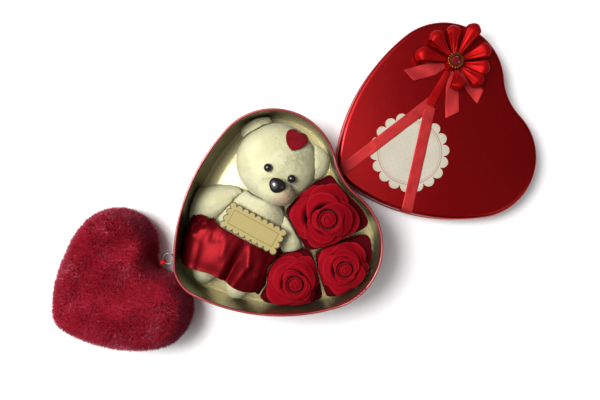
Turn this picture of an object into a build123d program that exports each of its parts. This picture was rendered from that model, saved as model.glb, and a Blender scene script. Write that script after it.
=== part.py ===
from build123d import *
import os
from math import atan2, cos, degrees, radians, sin, sqrt

# A heart-shaped gift tin: body, lid with a ribbon bow, plush bear, three soap roses, plush heart.
# Millimetres, +Z up. The origin is the middle of the tin body's flat underside and +X runs along
# the body's own axis, from the tip of the heart to the notch between its lobes.

# Outline of the tin body
heart_width = 150.0
heart_length = 141.0
lobe_radius = 44.5
tip_radius = 24.5
notch_radius = 46.0
side_radius = 138.0

# The tin that the contents are sized for: they grow or shrink with the real one
fitted_width = 150.0
fitted_length = 141.0

# Tin body
body_height = 48.0
tin_sheet = 0.5
rim_bead = 1.8
foot_bead_height = 2.2
foot_bead_proud = 0.5
pan_fit = 0.05
pan_upstand = 4.0
floor_ridge_inset = 4.0
floor_ridge_width = 2.6
floor_ridge_rise = 0.6

# Lid
lid_height = 20.0
lid_clearance = 0.35
lid_edge_radius = 3.0
hem_bead = 1.8
hem_proud = 0.7
lid_gap = 1.6
lid_drift = -4.4
lid_turn = -8.5

# Label and ribbon straps on the lid
label_radius = 25.6
label_scallops = 18
label_scallop_radius = 4.2
label_thickness = 0.3
label_x = -18.7
label_y = -7.4
strap_width = 8.5
strap_thickness = 0.4
strap_fork_x = 11.0
strap_fork_y = 20.8
strap_left_heading = 194.0
strap_right_heading = 234.0
strap_side_gap = 0.3

# Bow
bow_x = 37.2
bow_y = 41.1
loop_headings = (355.6, 37.6, 71.6, 104.6, 143.6, 255.6, 294.6, 323.6)
loop_lengths = (23.0, 26.5, 21.0, 22.0, 24.0, 16.0, 21.0, 21.0)
loop_height = 11.0
loop_width = 10.4
loop_root_width = 2.6
ribbon_thickness = 0.5
ribbon_gap = 0.3
tail_width = 10.0
tail_root_width = 3.4
tail_left_length = 31.0
tail_down_length = 35.6
tail_right_length = 29.4
tail_left_heading = 172.0
tail_down_heading = 246.0
tail_right_heading = 286.0
knot_radius = 5.6
knot_height = 8.6
knot_edge_radius = 1.6
setting_radius = 5.4
setting_height = 1.6
setting_cup = 0.4
setting_bead_count = 18
setting_bead_radius = 0.8
gem_radius = 3.9
gem_height = 2.4
gem_play = 0.1

# Bear, lying on its back; its own frame is centred under the head, +Y towards the top of the head
bear_from_lobe_x = 5.8
bear_from_lobe_y = 6.5
bear_turn = -56.85
content_gap = 0.3
wall_gap = 1.1
head_width = 62.0
head_length = 60.0
head_depth = 42.0
ear_width = 27.0
ear_depth = 15.0
ear_reach = 39.5
ear_root = 14.0
ear_lift = 2.0
ear_left_angle = 35.0
ear_right_angle = 25.0
muzzle_x = 8.6
muzzle_y = -19.0
muzzle_width = 32.0
muzzle_length = 24.0
muzzle_proud = 5.5
nose_width = 12.5
nose_length = 11.5
nose_proud = 3.4
nose_stand = 1.6
nose_above_muzzle = 3.4
nose_corner_radius = 2.0
nose_edge_radius = 1.2
eye_radius = 3.1
eye_spread = 18.4
eye_x = 6.5
eye_y = -6.6
eye_raise = 0.4
patch_width = 16.0
patch_length = 15.5
patch_thickness = 0.9
patch_x = 6.7
patch_y = 19.6
patch_lobe_radius = 4.6
patch_tip_radius = 1.2
patch_notch_radius = 0.9
patch_side_radius = 13.0
patch_turn = 93.0
torso_width = 54.0
torso_depth = 34.0
torso_top = -20.0
torso_bottom = -92.0
torso_x = 3.0
arm_width = 26.0
arm_depth = 25.0
shoulder_left_x = -10.0
shoulder_right_x = 20.0
shoulder_y = -31.0
shoulder_z = 17.0
paw_left_x = -50.0
paw_left_y = -62.0
paw_left_z = 15.5
paw_right_x = 40.0
paw_right_y = -57.0
paw_right_z = 17.0
leg_width = 26.0
leg_depth = 27.0
hip_left_x = -12.0
hip_right_x = 14.0
hip_y = -64.0
foot_left_x = -16.0
foot_right_x = 12.0
leg_end = -107.0
skirt_top = -61.0
skirt_bottom = -96.0
skirt_waist_width = 68.0
skirt_hem_width = 74.0
skirt_waist_depth = 34.5
skirt_hem_depth = 36.0
skirt_folds = 11
skirt_fold_waist = 1.2
skirt_fold_hem = 3.2
skirt_x = -4.0
skirt_drift = 1.0
skirt_open_width = 48.0
skirt_open_height = 8.0
tag_width = 46.0
tag_length = 20.5
tag_thickness = 2.5
tag_scallop_radius = 2.7
tag_x = 5.6
tag_y = -50.5
tag_turn = -3.5

# Soap roses
rose_a_radius = 22.0
rose_b_radius = 19.5
rose_c_radius = 18.0
rose_a_height = 41.0
rose_b_height = 37.0
rose_c_height = 38.0
rose_gap = 0.8
rose_a_heading = 50.0
rose_c_heading = -75.0
rose_b_heading = 162.5
rose_b_turn = 40.0
rose_c_turn = 75.0
inner_petals = 3
middle_petals = 4
outer_petals = 5
inner_first_heading = 20.0
middle_first_heading = 70.0
petal_thickness = 0.7
petal_shift = 1.05
petal_shift_outer = 1.6
petal_span = 150.0
petal_lean = 0.62
petal_gap = 0.25
petal_arch = 0.25
petal_trim = 0.15
stalk_brim = 0.5
rose_lip = 1.8
bud_radius = 3.2
tier_outer = 6.0
tier_middle = 9.5
tier_inner = 12.5

# Plush heart beside the tin
plush_width = 115.0
plush_length = 96.0
plush_lobe_radius = 31.0
plush_tip_radius = 16.0
plush_notch_radius = 12.0
plush_side_radius = 110.0
plush_depth = 42.0
plush_rounding = 9.5
plush_gap = 1.6
plush_drift = 20.5
plush_turn = -2.0
stuffed_cap = 82.0
plush_cap = 78.0
tab_width = 2.4
tab_thickness = 0.6
tab_reach = 4.5
ring_play = 0.5
ring_radius = 4.0
ring_wire = 1.0


def towards(centre, point, reach):
    return centre + (point - centre).normalized() * reach


def arc_about(centre, start, end):
    middle = towards(centre, (start + end) / 2, (start - centre).length)
    return ThreePointArc(start, middle, end)


def heart(width, length, lobe, tip, notch, side, grow=0.0):
    # Six tangent arcs about fixed centres, so growing the outline only changes the radii.
    lobe_centre = Vector(length / 2 - lobe, width / 2 - lobe)
    tip_centre = Vector(tip - length / 2, 0)
    span = tip_centre - lobe_centre
    along = ((side - lobe) ** 2 - (side - tip) ** 2 + span.length ** 2) / (2 * span.length)
    across = sqrt((side - lobe) ** 2 - along ** 2)
    run = span.normalized()
    side_centre = lobe_centre + run * along + Vector(-run.Y, run.X) * across
    notch_centre = Vector(lobe_centre.X + sqrt((lobe + notch) ** 2 - lobe_centre.Y ** 2), 0)
    at_notch = towards(lobe_centre, notch_centre, lobe + grow)
    at_lobe = towards(side_centre, lobe_centre, side + grow)
    at_tip = towards(side_centre, tip_centre, side + grow)

    def mirrored(point):
        return Vector(point.X, -point.Y)

    return make_face([
        arc_about(notch_centre, mirrored(at_notch), at_notch),
        arc_about(lobe_centre, at_notch, at_lobe),
        arc_about(side_centre, at_lobe, at_tip),
        arc_about(tip_centre, at_tip, mirrored(at_tip)),
        arc_about(mirrored(side_centre), mirrored(at_tip), mirrored(at_lobe)),
        arc_about(mirrored(lobe_centre), mirrored(at_lobe), mirrored(at_notch)),
    ])


def tin_heart(grow=0.0):
    return heart(heart_width, heart_length, lobe_radius, tip_radius, notch_radius, side_radius, grow)


def slab(outline, bottom, top):
    return extrude(Pos(0, 0, bottom) * outline, top - bottom)


def rounded_ring(inner, outer, bottom, top):
    ring = slab(tin_heart(outer) - tin_heart(inner), bottom, top)
    return fillet(ring.edges().filter_by(Plane.XY), 0.46 * min(outer - inner, top - bottom))


def oval(width, depth):
    # Four quarter-turn arcs meeting at tangents; the longer half is up to 2.4 times the shorter.
    a, b = width / 2, depth / 2
    half_turn = sqrt(2) - 1
    flat = (a - half_turn * b) / (2 - sqrt(2))
    end = (b - flat * (1 - sqrt(0.5))) * sqrt(2)
    x, y = a - end * (1 - sqrt(0.5)), end * sqrt(0.5)
    return make_face([
        ThreePointArc((x, -y), (a, 0), (x, y)),
        ThreePointArc((x, y), (0, b), (-x, y)),
        ThreePointArc((-x, y), (-a, 0), (-x, -y)),
        ThreePointArc((-x, -y), (0, -b), (x, -y)),
    ])


def stuffed(start, end, widths, depths, across, steps=4):
    # A stuffed form with rounded ends: width and depth are given at the start and at the end.
    start, end = Vector(*start), Vector(*end)
    run = Plane(origin=start, x_dir=across, z_dir=end - start)
    sections = []
    for step in range(-steps, steps + 1):
        turn = radians(stuffed_cap * step / steps)
        share = (1 + sin(turn)) / 2
        width = (widths[0] + (widths[1] - widths[0]) * share) * cos(turn)
        depth = (depths[0] + (depths[1] - depths[0]) * share) * cos(turn)
        sections.append(run.offset((end - start).length * share) * oval(width, depth))
    return loft(sections)


def folded(width, depth, folds, bulge):
    # An oval of outward arcs, one for each fold.
    corners = []
    for fold in range(folds):
        turn = radians(360 * fold / folds)
        corners.append(Vector((width / 2 - bulge) * cos(turn), (depth / 2 - bulge) * sin(turn)))
    arcs = []
    for fold in range(folds):
        here, there = corners[fold], corners[(fold + 1) % folds]
        crest = (here + there) / 2
        arcs.append(ThreePointArc(here, crest + crest.normalized() * 2 * bulge, there))
    return make_face(arcs)


def scalloped_tag(width, length, radius):
    plate = Rectangle(width - 2 * radius, length - 2 * radius)
    columns = round((width - 2 * radius) / (1.9 * radius))
    rows = round((length - 2 * radius) / (1.9 * radius))
    step_x = (width - 2 * radius) / columns
    step_y = (length - 2 * radius) / rows
    for column in range(columns + 1):
        x = -width / 2 + radius + column * step_x
        for y in (-length / 2 + radius, length / 2 - radius):
            plate += Pos(x, y) * Circle(radius)
    for row in range(1, rows):
        y = -length / 2 + radius + row * step_y
        for x in (-width / 2 + radius, width / 2 - radius):
            plate += Pos(x, y) * Circle(radius)
    return plate


pieces = {}

# Tin body: the pan sits inside the wall, and its underside is the face the tin stands on.
rim_outer = (rim_bead - tin_sheet) / 2
rim_inner = -tin_sheet - rim_outer
wall = slab(tin_heart() - tin_heart(-tin_sheet), 0, body_height - rim_bead / 2)
wall += rounded_ring(rim_inner, rim_outer, body_height - rim_bead, body_height)
foot = slab(tin_heart(foot_bead_proud) - tin_heart(-tin_sheet / 2), 0, foot_bead_height)
pieces["base_wall"] = wall + foot

pan_edge = -tin_sheet - pan_fit
ridge_out = pan_edge - floor_ridge_inset
ridge_in = ridge_out - floor_ridge_width
pan = slab(tin_heart(pan_edge), 0, tin_sheet)
pan += slab(tin_heart(pan_edge) - tin_heart(pan_edge - tin_sheet), 0, pan_upstand)
pan += slab(tin_heart(ridge_out) - tin_heart(ridge_in), 0, tin_sheet + floor_ridge_rise)
pan -= slab(tin_heart(ridge_out - tin_sheet) - tin_heart(ridge_in + tin_sheet), 0, floor_ridge_rise)
pieces["base_floor"] = pan

# Lid: it slips over the rim bead of the body, and here lies on its hem beside the notch.
lid_inside = rim_outer + lid_clearance
lid_outside = lid_inside + tin_sheet
hem_outside = lid_outside + hem_proud


def lid_cap(grow, height, edge):
    cap = slab(tin_heart(grow), 0, height)
    return fillet(cap.edges().group_by(Axis.Z)[-1], edge)


shell = lid_cap(lid_outside, lid_height, lid_edge_radius)
shell -= lid_cap(lid_inside, lid_height - tin_sheet, lid_edge_radius - tin_sheet)
shell += rounded_ring(lid_inside, hem_outside, 0, hem_bead)
lid_pieces = {"lid_shell": shell}

label = Circle(label_radius)
for turn in range(label_scallops):
    label += Rot(0, 0, 360 * turn / label_scallops) * Pos(label_radius, 0) * Circle(label_scallop_radius)
label_place = Pos(label_x, label_y)
lid_pieces["lid_label"] = slab(label_place * label, lid_height, lid_height + label_thickness)

# The straps are a skin over the lid's edge, lifted by the label's thickness.
strap_over = label_thickness + strap_thickness
skin = lid_cap(lid_outside + strap_over, lid_height + strap_over, lid_edge_radius + strap_over)
skin -= lid_cap(lid_outside + label_thickness, lid_height + label_thickness,
                lid_edge_radius + label_thickness)
fork = Pos(strap_fork_x, strap_fork_y)
reach = heart_length
strip = Rectangle(reach, strap_width)
strip_left = fork * Rot(0, 0, strap_left_heading) * Pos((reach - strap_width) / 2, 0) * strip
strip_right = fork * Rot(0, 0, strap_right_heading) * Pos(reach / 2, 0) * strip
keep_off = strap_width + 2 * strap_side_gap
strip_right -= fork * Rot(0, 0, strap_left_heading) * Rectangle(2 * reach, keep_off)
strap_foot = hem_bead + strap_side_gap
strap_top = lid_height + strap_over
lid_pieces["strap_left"] = skin & slab(strip_left, strap_foot, strap_top)
lid_pieces["strap_right"] = skin & slab(strip_right, strap_foot, strap_top)

# Bow: loops of ribbon round a gathered knot, cut ribbon ends below them, a set stone on top.
bow_floor = lid_height + ribbon_gap
tail_top = bow_floor + ribbon_thickness
loop_floor = tail_top + ribbon_gap
bow_place = Pos(bow_x, bow_y)


def loop_outline(length, inset):
    # A teardrop seen from the side: the root is at the left, the rounded end at the right.
    end_radius = loop_height / 2 - inset
    end_centre = Vector(length - loop_height / 2, loop_height / 2)
    root = Vector(inset * 2.5, loop_height * 0.36)
    lean = loop_height * 0.02
    low = end_centre + Vector(0, -end_radius)
    high = end_centre + Vector(0, end_radius)
    return make_face([
        ThreePointArc(root, (root + low) / 2 + Vector(0, -lean), low),
        ThreePointArc(low, end_centre + Vector(end_radius, 0), high),
        ThreePointArc(high, (root + high) / 2 + Vector(0, lean), root),
    ])


def bow_loop(heading, length):
    side_view = Plane.XZ * (loop_outline(length, 0) - loop_outline(length, ribbon_thickness))
    ribbon = extrude(side_view, loop_width, both=True)
    half_root, half_end = loop_root_width / 2, loop_width / 2
    flare = length * 0.72
    plan = make_face([
        Line((0, -half_root), (flare, -half_end)),
        ThreePointArc((flare, -half_end), (length + 1, 0), (flare, half_end)),
        Line((flare, half_end), (0, half_root)),
        Line((0, half_root), (0, -half_root)),
    ])
    loop = ribbon & slab(plan, -1, loop_height + 1)
    return bow_place * Rot(0, 0, heading) * Pos(knot_radius + ribbon_gap, 0, loop_floor) * loop


for number, (heading, length) in enumerate(zip(loop_headings, loop_lengths), 1):
    lid_pieces[f"bow_loop_{number}"] = bow_loop(heading, length)


def bow_tail(heading, length):
    # A flat ribbon end with a slanting cut.
    half = tail_width / 2
    root = tail_root_width / 2
    low_side = ((0, -root), (tail_width, -half), (length, -half))
    high_side = ((length - half, half), (tail_width, half), (0, root))
    plan = Polygon(*low_side, *high_side, align=None)
    strip = slab(plan, bow_floor, tail_top)
    return bow_place * Rot(0, 0, heading) * Pos(knot_radius + ribbon_gap, 0) * strip


lid_pieces["bow_tail_left"] = bow_tail(tail_left_heading, tail_left_length)
lid_pieces["bow_tail_down"] = bow_tail(tail_down_heading, tail_down_length)
lid_pieces["bow_tail_right"] = bow_tail(tail_right_heading, tail_right_length)

on_base = (Align.CENTER, Align.CENTER, Align.MIN)
knot = Pos(bow_x, bow_y, bow_floor) * Cylinder(knot_radius, knot_height, align=on_base)
lid_pieces["bow_knot"] = fillet(knot.edges().group_by(Axis.Z)[-1], knot_edge_radius)

setting_floor = bow_floor + knot_height
setting = Cylinder(setting_radius, setting_height, align=on_base)
for turn in range(setting_bead_count):
    bead = Rot(0, 0, 360 * turn / setting_bead_count) * Pos(setting_radius, 0, setting_height / 2)
    setting += bead * Sphere(setting_bead_radius)
setting -= Pos(0, 0, setting_cup) * Cylinder(gem_radius, setting_height, align=on_base)
lid_pieces["gem_setting"] = bow_place * Pos(0, 0, setting_floor) * setting

girdle = RegularPolygon(gem_radius - gem_play, 8)
table = Pos(0, 0, gem_height) * RegularPolygon(gem_radius * 0.55, 8)
gem = loft([girdle, Pos(0, 0, gem_height * 0.35) * girdle], ruled=True)
gem += loft([Pos(0, 0, gem_height * 0.35) * girdle, table], ruled=True)
lid_pieces["gem"] = bow_place * Pos(0, 0, setting_floor + setting_cup) * gem

notch_x = heart_length / 2 - lobe_radius
notch_x += sqrt((lobe_radius + notch_radius) ** 2 - (heart_width / 2 - lobe_radius) ** 2) - notch_radius
lid_x = notch_x + rim_outer + lid_gap + hem_outside + heart_length / 2
lid_place = Pos(lid_x, lid_drift, 0) * Rot(0, 0, lid_turn)
for name, solid in lid_pieces.items():
    pieces[name] = lid_place * solid

# Contents: arranged in the tin that they are sized for, then grown or shrunk with the real tin.
content_floor = tin_sheet + content_gap
content_scale = min(heart_width / fitted_width, heart_length / fitted_length)
lobe_x = fitted_length / 2 - lobe_radius
lobe_y = fitted_width / 2 - lobe_radius
lobe_room = lobe_radius - tin_sheet - wall_gap
room = slab(tin_heart(-tin_sheet - wall_gap), content_scale * content_floor, 2 * body_height)


def fitted(solid):
    if content_scale == 1:
        return solid
    return scale(solid, by=content_scale)


def heading_vector(heading):
    return Vector(cos(radians(heading)), sin(radians(heading)))


# Soap roses, packed against the wall of the lobe on the -Y side.
rose_lobe = Vector(lobe_x, -lobe_y)
rose_a_at = rose_lobe + heading_vector(rose_a_heading) * (lobe_room - rose_a_radius)
rose_c_at = rose_lobe + heading_vector(rose_c_heading) * (lobe_room - rose_c_radius)
rose_b_at = rose_c_at + heading_vector(rose_b_heading) * (rose_c_radius + rose_b_radius + rose_gap)


def petal(radius, foot, shoulder, top, lip):
    # A thin cupped profile turned through part of a circle, its upper edge arched.
    foot_point = Vector(radius * petal_lean, foot + petal_gap)
    shoulder_point = Vector(radius, shoulder)
    bow = (shoulder_point - foot_point).length * 0.05
    cup_point = (foot_point + shoulder_point) / 2 + Vector(bow, -bow)
    brim_point = Vector(radius + lip * 0.25, (shoulder + top) / 2)
    top_point = Vector(radius + lip, top)
    over = Vector(petal_thickness, 0)
    profile = make_face([
        ThreePointArc(foot_point, cup_point, shoulder_point),
        ThreePointArc(shoulder_point, brim_point, top_point),
        Line(top_point, top_point + over),
        ThreePointArc(top_point + over, brim_point + over, shoulder_point + over),
        ThreePointArc(shoulder_point + over, cup_point + over, foot_point + over),
        Line(foot_point + over, foot_point),
    ])
    leaf = revolve(Plane.XZ * profile, Axis.Z, petal_span)
    half_chord = (radius + lip) * sin(radians(petal_span / 2))
    crown = half_chord * (1 + petal_arch ** 2) / (2 * petal_arch)
    crown_place = Rot(0, 0, petal_span / 2) * Pos(0, 0, top - petal_trim - crown) * Rot(0, 90, 0)
    return leaf & crown_place * Cylinder(crown, 4 * radius)


def whorl(count, leaf, shift, first):
    turned = []
    for number in range(count):
        heading = first + 360 * number / count
        turned.append(Rot(0, 0, heading) * Pos(shift, 0) * Rot(0, 0, -petal_span) * leaf)
    return Compound(children=turned)


def rose(name, at, radius, height, turn):
    # Petals stand on the steps of a tiered stalk, the outer ones lowest.
    outer_radius = radius - rose_lip - petal_shift_outer - petal_thickness
    step = (outer_radius - bud_radius - petal_thickness) / 3
    middle_radius, inner_radius = outer_radius - step, outer_radius - 2 * step
    shoulder = tier_inner + 0.25 * (height - tier_inner)
    rise = petal_thickness + petal_gap
    tier_1 = outer_radius * petal_lean + petal_shift_outer + stalk_brim
    tier_2 = outer_radius * petal_lean - petal_shift_outer - rise
    tier_3 = middle_radius * petal_lean - petal_shift - rise
    stalk = Rectangle(tier_1, tier_outer, align=Align.MIN)
    stalk += Rectangle(tier_2, tier_middle, align=Align.MIN)
    stalk += Rectangle(tier_3, tier_inner, align=Align.MIN)
    stalk -= Polygon((tier_1 * 0.5, 0), (tier_1, 0), (tier_1, tier_outer * 0.8), align=None)
    bud_sizes = (2.2 * bud_radius, 1.5 * bud_radius)
    bud = stuffed((0, 0, tier_inner + petal_gap), (0, 0, height), bud_sizes, bud_sizes, (1, 0, 0))
    outer = petal(outer_radius, tier_outer, shoulder, height * 0.86, rose_lip)
    middle = petal(middle_radius, tier_middle, shoulder, height * 0.93, rose_lip * 0.5)
    inner = petal(inner_radius, tier_inner, shoulder, height * 0.97, rose_lip * 0.2)
    place = Pos(at.X, at.Y, content_floor) * Rot(0, 0, turn)
    return {
        f"rose_{name}_stalk": place * revolve(Plane.XZ * stalk, Axis.Z),
        f"rose_{name}_bud": place * bud,
        f"rose_{name}_inner": place * whorl(inner_petals, inner, petal_shift, inner_first_heading),
        f"rose_{name}_middle": place * whorl(middle_petals, middle, petal_shift, middle_first_heading),
        f"rose_{name}_outer": place * whorl(outer_petals, outer, petal_shift_outer, 0),
    }


rose_pieces = rose("a", rose_a_at, rose_a_radius, rose_a_height, 0)
rose_pieces.update(rose("b", rose_b_at, rose_b_radius, rose_b_height, rose_b_turn))
rose_pieces.update(rose("c", rose_c_at, rose_c_radius, rose_c_height, rose_c_turn))
for name, solid in rose_pieces.items():
    pieces[name] = fitted(solid)
roses = ((rose_a_at, rose_a_radius), (rose_b_at, rose_b_radius), (rose_c_at, rose_c_radius))


def clear_of_roses(solid):
    # A flat cut beside each rose, square to the line from the rose to the middle of the piece.
    reach = 2 * fitted_length
    for at, radius in roses:
        middle = solid.bounding_box().center()
        heading = degrees(atan2(middle.Y - at.Y, middle.X - at.X))
        cut = Pos(radius + rose_gap - reach / 2, 0) * Box(reach, reach, reach)
        solid = solid - Pos(at.X, at.Y) * Rot(0, 0, heading) * cut
    return solid


# Bear: each soft form is cut by the larger ones it is sewn to, then by the tin and the roses.
bear_place = Pos(lobe_x + bear_from_lobe_x, lobe_y + bear_from_lobe_y, content_floor)
bear_place *= Rot(0, 0, bear_turn)
across = (1, 0, 0)
head_mid = head_depth / 2


def head_form(grow):
    width, depth, half = head_width + 2 * grow, head_depth + 2 * grow, head_length / 2 + grow
    return stuffed((0, -half, head_mid), (0, half, head_mid), (width, width), (depth, depth), across)


head = head_form(0)
muzzle = stuffed((muzzle_x, muzzle_y, head_mid), (muzzle_x, muzzle_y, head_depth + muzzle_proud),
                 (muzzle_width, muzzle_width * 0.9), (muzzle_length, muzzle_length * 0.9), across) - head
torso = stuffed((torso_x, torso_bottom, torso_depth / 2), (torso_x, torso_top, torso_depth / 2),
                (torso_width * 1.05, torso_width * 0.92), (torso_depth, torso_depth), across)
torso = torso - head - muzzle


def ear(side, angle):
    turn = radians(angle)
    tip = (side * ear_reach * cos(turn), ear_reach * sin(turn), head_mid + ear_lift)
    root = (side * ear_root * cos(turn), ear_root * sin(turn), head_mid + ear_lift)
    along_edge = (-sin(turn) * side, cos(turn), 0)
    return stuffed(root, tip, (ear_width, ear_width), (ear_depth, ear_depth), along_edge) - head


def arm(root, paw, widths):
    side = Vector(paw[1] - root[1], root[0] - paw[0], 0)
    return stuffed(root, paw, widths, (arm_depth * 0.8, arm_depth), side) - head - torso


shoulder_left = (shoulder_left_x, shoulder_y, shoulder_z)
shoulder_right = (shoulder_right_x, shoulder_y, shoulder_z)
paw_left = (paw_left_x, paw_left_y, paw_left_z)
paw_right = (paw_right_x, paw_right_y, paw_right_z)
arm_left = arm(shoulder_left, paw_left, (arm_width * 0.85, arm_width * 1.15))
arm_right = arm(shoulder_right, paw_right, (arm_width * 0.85, arm_width))


def leg(hip_x, foot_x):
    hip = (hip_x, hip_y, leg_depth / 2)
    foot = (foot_x, leg_end, leg_depth / 2)
    return stuffed(hip, foot, (leg_width * 0.8, leg_width), (leg_depth * 0.8, leg_depth), across) - torso


leg_left = leg(hip_left_x, foot_left_x)
leg_right = leg(hip_right_x, foot_right_x)
skirt_sections = []
for share in (0.0, 0.5, 1.0):
    y = skirt_top + (skirt_bottom - skirt_top) * share
    width = skirt_waist_width + (skirt_hem_width - skirt_waist_width) * sqrt(share)
    depth = skirt_waist_depth + (skirt_hem_depth - skirt_waist_depth) * sqrt(share)
    bulge = skirt_fold_waist + (skirt_fold_hem - skirt_fold_waist) * share
    middle = (skirt_x - skirt_drift * share, y, depth / 2 + bulge)
    frame = Plane(origin=middle, x_dir=(1, 0, 0), z_dir=(0, -1, 0))
    skirt_sections.append(frame * folded(width, depth, skirt_folds, bulge))
# The skirt is open underneath, where the bear lies on its back.
underneath = Pos(torso_x, torso_bottom) * Box(skirt_open_width, -2 * torso_bottom, 2 * skirt_open_height)
skirt = loft(skirt_sections) - underneath - torso - leg_left - leg_right - arm_left - arm_right

eyes = []
for side in (-1, 1):
    x = eye_x + side * eye_spread / 2
    seat_z = head_mid * (1 + sqrt(1 - (2 * x / head_width) ** 2 - (2 * eye_y / head_length) ** 2))
    eyes.append(Pos(x, eye_y, seat_z + eye_raise) * Sphere(eye_radius) - head - muzzle)

half_nose, nose_top = nose_width / 2, nose_length * 0.4
nose_plan = Polygon((0, -nose_length * 0.6), (half_nose, nose_top), (-half_nose, nose_top), align=None)
nose_plan = fillet(nose_plan.vertices(), nose_corner_radius)
muzzle_top = head_depth + muzzle_proud
nose_place = Pos(muzzle_x, muzzle_y + nose_above_muzzle, muzzle_top - nose_proud)
nose = nose_place * extrude(nose_plan, nose_proud + nose_stand)
nose = fillet(nose.edges().group_by(Axis.Z)[-1], nose_edge_radius) - muzzle - head

patch_plan = heart(patch_width, patch_length, patch_lobe_radius, patch_tip_radius,
                   patch_notch_radius, patch_side_radius)
patch_plan = Pos(patch_x, patch_y) * Rot(0, 0, patch_turn) * patch_plan
patch = (head_form(patch_thickness) - head) & slab(patch_plan, head_mid, 2 * head_depth)

tag_floor = torso_depth + content_gap
tag_plan = scalloped_tag(tag_width, tag_length, tag_scallop_radius)
tag_plan = Pos(tag_x, tag_y) * Rot(0, 0, tag_turn) * tag_plan
tag = slab(tag_plan, tag_floor, tag_floor + tag_thickness) - head - muzzle

on_face = ("bear_eyes", "bear_nose", "bear_patch", "bear_tag", "bear_muzzle")
bear_pieces = {
    "bear_head": head,
    "bear_body": torso,
    "bear_ear_left": ear(-1, ear_left_angle),
    "bear_ear_right": ear(1, ear_right_angle),
    "bear_muzzle": muzzle,
    "bear_eyes": Compound(children=eyes),
    "bear_nose": nose,
    "bear_arm_left": arm_left,
    "bear_arm_right": arm_right,
    "bear_leg_left": leg_left,
    "bear_leg_right": leg_right,
    "bear_patch": patch,
    "bear_skirt": skirt,
    "bear_tag": tag,
}
for name, solid in bear_pieces.items():
    placed = bear_place * solid
    if name in on_face:
        pieces[name] = fitted(placed)
        continue
    pieces[name] = fitted(clear_of_roses(placed)) & room

# Plush heart: crowned above and below, lying beside the tip of the tin, with a ring in its notch.
plush_sections = []
for step in range(-4, 5):
    turn = radians(plush_cap * step / 4)
    grow = -plush_rounding * (1 - cos(turn))
    level = plush_depth / 2 * (1 + sin(turn) / sin(radians(plush_cap)))
    outline = heart(plush_width, plush_length, plush_lobe_radius, plush_tip_radius, plush_notch_radius,
                    plush_side_radius, grow)
    plush_sections.append(Pos(0, 0, level) * outline)
plush_x = -heart_length / 2 - rim_outer - plush_gap - plush_length / 2
plush_place = Pos(plush_x, plush_drift, 0) * Rot(0, 0, plush_turn)
plush_lobe_x = plush_length / 2 - plush_lobe_radius
plush_lobe_y = plush_width / 2 - plush_lobe_radius
plush_notch_x = plush_lobe_x - plush_notch_radius
plush_notch_x += sqrt((plush_lobe_radius + plush_notch_radius) ** 2 - plush_lobe_y ** 2)
pieces["plush_heart"] = plush_place * loft(plush_sections)
tab_half = ring_wire / 2 + ring_play + tab_thickness
tab_root = plush_notch_x + content_gap
ring_near = tab_root + tab_reach - tab_half
tab_middle = (tab_root + ring_near) / 2
tab = Pos(ring_near, 0) * Circle(tab_half)
tab += Pos(tab_middle, 0) * Rectangle(ring_near - tab_root, 2 * tab_half)
tab -= Pos(ring_near, 0) * Circle(tab_half - tab_thickness)
tab = Pos(0, 0, plush_depth / 2) * extrude(Plane.XZ * tab, tab_width / 2, both=True)
pieces["plush_tab"] = plush_place * tab
ring_place = plush_place * Pos(ring_near + ring_radius, 0, plush_depth / 2)
pieces["plush_ring"] = ring_place * Torus(ring_radius, ring_wire / 2)

os.makedirs("parts", exist_ok=True)
for name, solid in pieces.items():
    export_step(solid, f"parts/{name}.step")
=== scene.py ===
# %% [markdown]
# # A heart-shaped gift tin with a bear, soap roses and a plush heart
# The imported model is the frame: its rigid pieces stay where they are and only get a finish here.
# The soft pieces, such as the bear, the ribbon and the petals, are made again in Blender, each one
# in the place that its plain solid holds.

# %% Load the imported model
import math
import random
import bmesh
import bpy
from mathutils import Matrix, Vector, noise
from mathutils.bvhtree import BVHTree


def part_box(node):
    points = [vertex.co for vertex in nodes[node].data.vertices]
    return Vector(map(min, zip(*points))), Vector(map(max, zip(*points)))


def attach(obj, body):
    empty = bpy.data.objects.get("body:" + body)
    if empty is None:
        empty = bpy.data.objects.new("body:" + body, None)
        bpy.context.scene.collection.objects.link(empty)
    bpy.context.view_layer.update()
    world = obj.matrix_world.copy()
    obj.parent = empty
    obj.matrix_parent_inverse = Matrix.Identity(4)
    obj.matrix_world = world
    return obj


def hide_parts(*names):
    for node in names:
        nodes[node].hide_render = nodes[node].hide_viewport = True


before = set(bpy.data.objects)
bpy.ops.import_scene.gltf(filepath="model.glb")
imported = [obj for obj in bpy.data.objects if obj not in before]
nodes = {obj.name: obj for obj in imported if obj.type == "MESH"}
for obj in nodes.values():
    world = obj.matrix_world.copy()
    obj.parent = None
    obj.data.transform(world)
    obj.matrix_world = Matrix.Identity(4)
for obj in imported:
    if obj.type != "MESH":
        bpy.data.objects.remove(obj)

scene = bpy.context.scene
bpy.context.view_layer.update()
MM = 0.001

# %% [markdown]
# ## Places
# Three groups of pieces have a frame of their own: the lid, the bear and the plush heart. A matrix
# takes a point from such a frame to the shared one. Reading the frames once here keeps the numbers
# below in the maker's own terms, such as millimetres along the bear.

# %% The frames of the lid, the bear and the plush heart
def frame_at(x, y, z, turn):
    return Matrix.Translation((x * MM, y * MM, z * MM)) @ Matrix.Rotation(math.radians(turn), 4, "Z")


def middle_of(node):
    low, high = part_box(node)
    return (low + high) / 2


LID_TURN = -8.5
lid_frame = frame_at(140.16, -4.4, 0, LID_TURN)
bear_frame = frame_at(31.8, 37.0, 0.8, -56.85)
plush_frame = frame_at(-120.75, 20.5, 0, -2.0)

# %% [markdown]
# ## Camera
# The photograph looks straight down on the things laid out, so the camera hangs above them and is
# only turned about the vertical. The turn and the height were worked out from the outline of the
# tin. It comes first, because every later choice is judged through it.

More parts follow.
